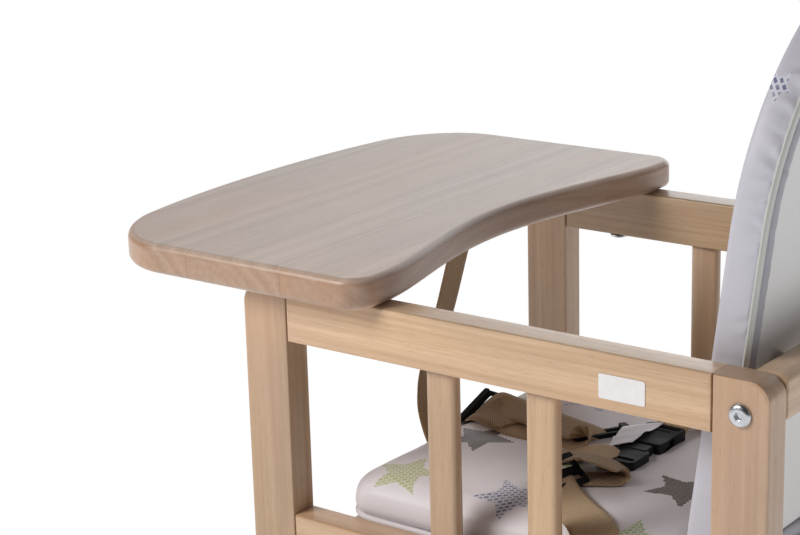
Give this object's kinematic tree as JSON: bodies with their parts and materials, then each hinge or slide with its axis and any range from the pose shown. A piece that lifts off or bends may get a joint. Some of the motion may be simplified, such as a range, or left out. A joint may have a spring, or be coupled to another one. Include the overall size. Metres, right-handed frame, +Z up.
{
  "type": "convertible wooden baby high chair",
  "caption": "Small wooden armchair with padded round-topped back, seat cushion, harness and curved tray, standing on a low wooden table that serves as base and footrest.",
  "frame": {"origin": "on the floor, at the middle of the object's footprint", "axes": "+Z up, -Y towards the front edge of the tray, +X towards the seated child's left"},
  "size_m": [0.5, 0.674, 1.0348],
  "materials": {
    "wood": "clear satin lacquer on pale hardwood",
    "table_wood": "clear satin lacquer on glued-up hardwood board",
    "back_panel": "smooth white-grey coated panel",
    "coated_fabric": "wipe-clean coated cloth with printed stars, satin sheen",
    "webbing": "woven ribbed webbing",
    "steel": "bright zinc plate",
    "brass": "plain turned",
    "black_plastic": "satin moulded",
    "label_film": "white printed-film sticker, left blank"
  },
  "bodies": {
    "table": {"leg_front_left": "wood", "glide_front_left": "black_plastic", "leg_rear_left": "wood", "glide_rear_left": "black_plastic", "side_apron_left": "wood", "side_stretcher_left": "wood", "leg_front_right": "wood", "glide_front_right": "black_plastic", "leg_rear_right": "wood", "glide_rear_right": "black_plastic", "side_apron_right": "wood", "side_stretcher_right": "wood", "front_apron": "wood", "rear_apron": "wood", "rear_stretcher": "wood", "table_top": "table_wood"},
    "chair": {"front_post_left": "wood", "rear_post_left": "wood", "arm_rail_left": "wood", "seat_side_rail_left": "wood", "spindle_front_left": "wood", "spindle_rear_left": "wood", "back_block_left": "wood", "frame_bolt_left": "steel", "tray_bolt_left": "steel", "barrel_nut_left": "steel", "tray_insert_left": "brass", "waist_belt_left": "webbing", "front_post_right": "wood", "rear_post_right": "wood", "arm_rail_right": "wood", "seat_side_rail_right": "wood", "spindle_front_right": "wood", "spindle_rear_right": "wood", "back_block_right": "wood", "frame_bolt_right": "steel", "tray_bolt_right": "steel", "barrel_nut_right": "steel", "tray_insert_right": "brass", "waist_belt_right": "webbing", "top_rail": "wood", "seat_front_rail": "wood", "seat_rear_rail": "wood", "tray": "table_wood", "seat_board": "table_wood", "back_board": "back_panel", "seat_cushion": "coated_fabric", "back_cushion": "coated_fabric", "tray_strap": "webbing", "crotch_webbing": "webbing", "buckle_plug": "black_plastic", "blank_label": "label_film"},
    "hand_screw_front_left": {"hand_screw_front_left": "black_plastic"},
    "hand_screw_rear_left": {"hand_screw_rear_left": "black_plastic"},
    "hand_screw_front_right": {"hand_screw_front_right": "black_plastic"},
    "hand_screw_rear_right": {"hand_screw_rear_right": "black_plastic"},
    "crotch_adjuster": {"crotch_adjuster": "black_plastic"},
    "waist_adjuster_left": {"waist_adjuster_left": "black_plastic"},
    "waist_adjuster_right": {"waist_adjuster_right": "black_plastic"},
    "buckle_socket": {"buckle_socket": "black_plastic"}
  },
  "joints": [
    {"name": "chair_lift", "type": "slide", "parent": "table", "child": "chair", "axis": [0, 0, 1], "range_m": [0, 0.12]},
    {"name": "hand_screw_front_left_turn", "type": "hinge", "parent": "table", "child": "hand_screw_front_left", "pos_m": [0.2014, -0.1525, 0.3615], "axis": [0, 0, -1], "range_deg": [0, 2700]},
    {"name": "hand_screw_rear_left_turn", "type": "hinge", "parent": "table", "child": "hand_screw_rear_left", "pos_m": [0.2014, 0.2598, 0.3615], "axis": [0, 0, -1], "range_deg": [0, 2700]},
    {"name": "hand_screw_front_right_turn", "type": "hinge", "parent": "table", "child": "hand_screw_front_right", "pos_m": [-0.2014, -0.1525, 0.3615], "axis": [0, 0, -1], "range_deg": [0, 2700]},
    {"name": "hand_screw_rear_right_turn", "type": "hinge", "parent": "table", "child": "hand_screw_rear_right", "pos_m": [-0.2014, 0.2598, 0.3615], "axis": [0, 0, -1], "range_deg": [0, 2700]},
    {"name": "crotch_adjuster_slide", "type": "slide", "parent": "chair", "child": "crotch_adjuster", "axis": [0, 1, 0], "range_m": [0, 0.03]},
    {"name": "waist_adjuster_left_slide", "type": "slide", "parent": "chair", "child": "waist_adjuster_left", "axis": [-0.6947, -0.7193, 0], "range_m": [-0.03, 0.01]},
    {"name": "waist_adjuster_right_slide", "type": "slide", "parent": "chair", "child": "waist_adjuster_right", "axis": [0.9613, -0.2756, 0], "range_m": [-0.04, 0.01]},
    {"name": "buckle_release", "type": "slide", "parent": "chair", "child": "buckle_socket", "axis": [-1, 0, 0], "range_m": [0, 0.03]}
  ]
}
